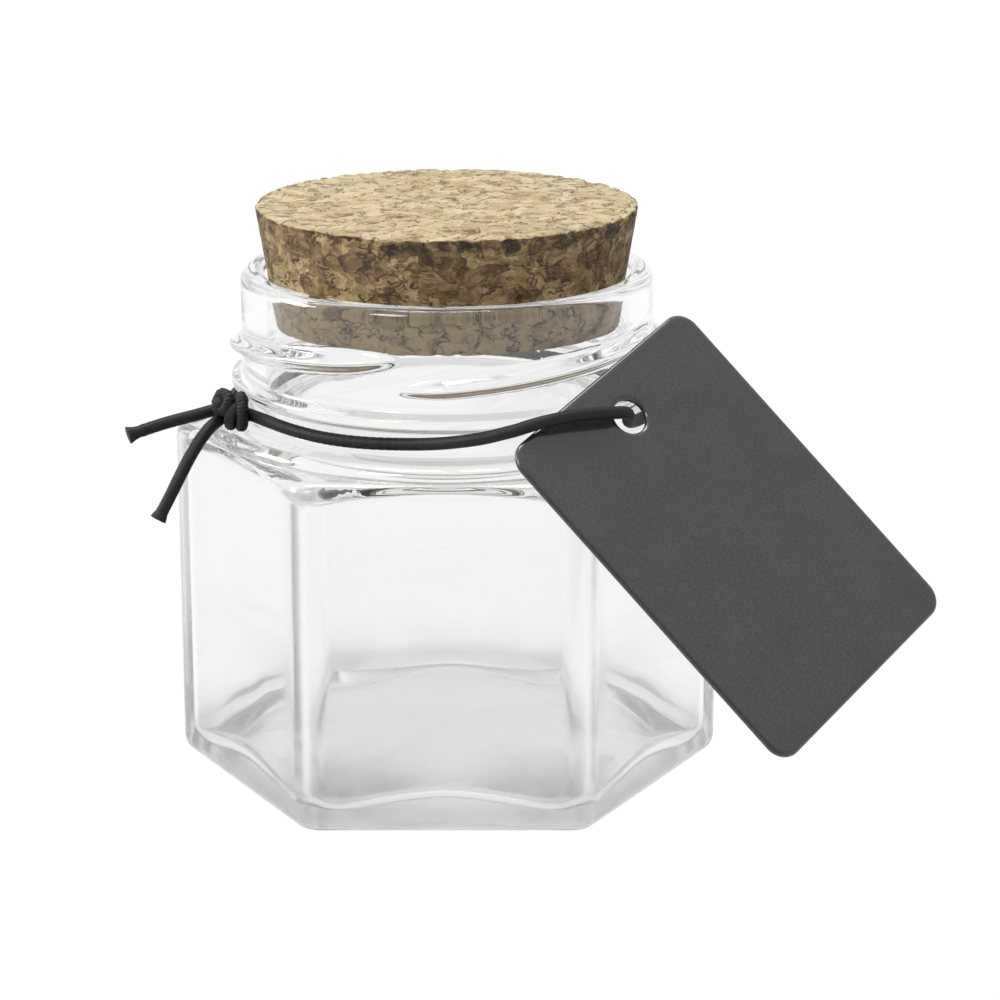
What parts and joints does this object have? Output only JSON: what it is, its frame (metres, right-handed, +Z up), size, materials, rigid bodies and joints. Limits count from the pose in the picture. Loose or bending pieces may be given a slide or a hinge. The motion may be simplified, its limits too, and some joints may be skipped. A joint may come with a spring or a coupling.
{
  "type": "glass jar with cork stopper",
  "caption": "Small hexagonal clear glass jar with a lugged round neck, a tapered cork stopper, and a blank swing tag tied round the neck with thin dark cord.",
  "frame": {"origin": "middle of the flat base of the jar", "axes": "+Z is up along the neck's axis, -Y is the front, square to the front flat of the hexagon, and +X is to the right, through a corner of the hexagon"},
  "size_m": [0.0863, 0.066, 0.0631],
  "materials": {
    "clear_glass": "clear moulded glass, glossy",
    "cork": "pressed cork granules, matt",
    "charcoal_card": "satin card with rolled edges",
    "black_cord": "round waxed cord, low sheen"
  },
  "bodies": {
    "jar": {"glass_jar": "clear_glass"},
    "cork": {"cork_stopper": "cork"},
    "cord": {"neck_cord_front": "black_cord", "cord_tag_strand": "black_cord", "neck_cord_back": "black_cord", "cord_knot": "black_cord", "cord_tail_upper": "black_cord", "cord_tail_lower": "black_cord"},
    "tag": {"swing_tag": "charcoal_card"}
  },
  "joints": [
    {"name": "cork_lift", "type": "slide", "parent": "jar", "child": "cork", "axis": [0, 0, 1], "range_m": [0, 0.025]},
    {"name": "cord_turn", "type": "hinge", "parent": "jar", "child": "cord", "pos_m": [0, 0, 0.04175], "axis": [0, 0, 1], "continuous": true},
    {"name": "tag_swing", "type": "hinge", "parent": "cord", "child": "tag", "pos_m": [0.01933, -0.02095, 0.04462], "axis": [0.4149, -0.6744, 0.6108], "range_deg": [-25, 0], "deforming": ["cord_tag_strand"]}
  ]
}
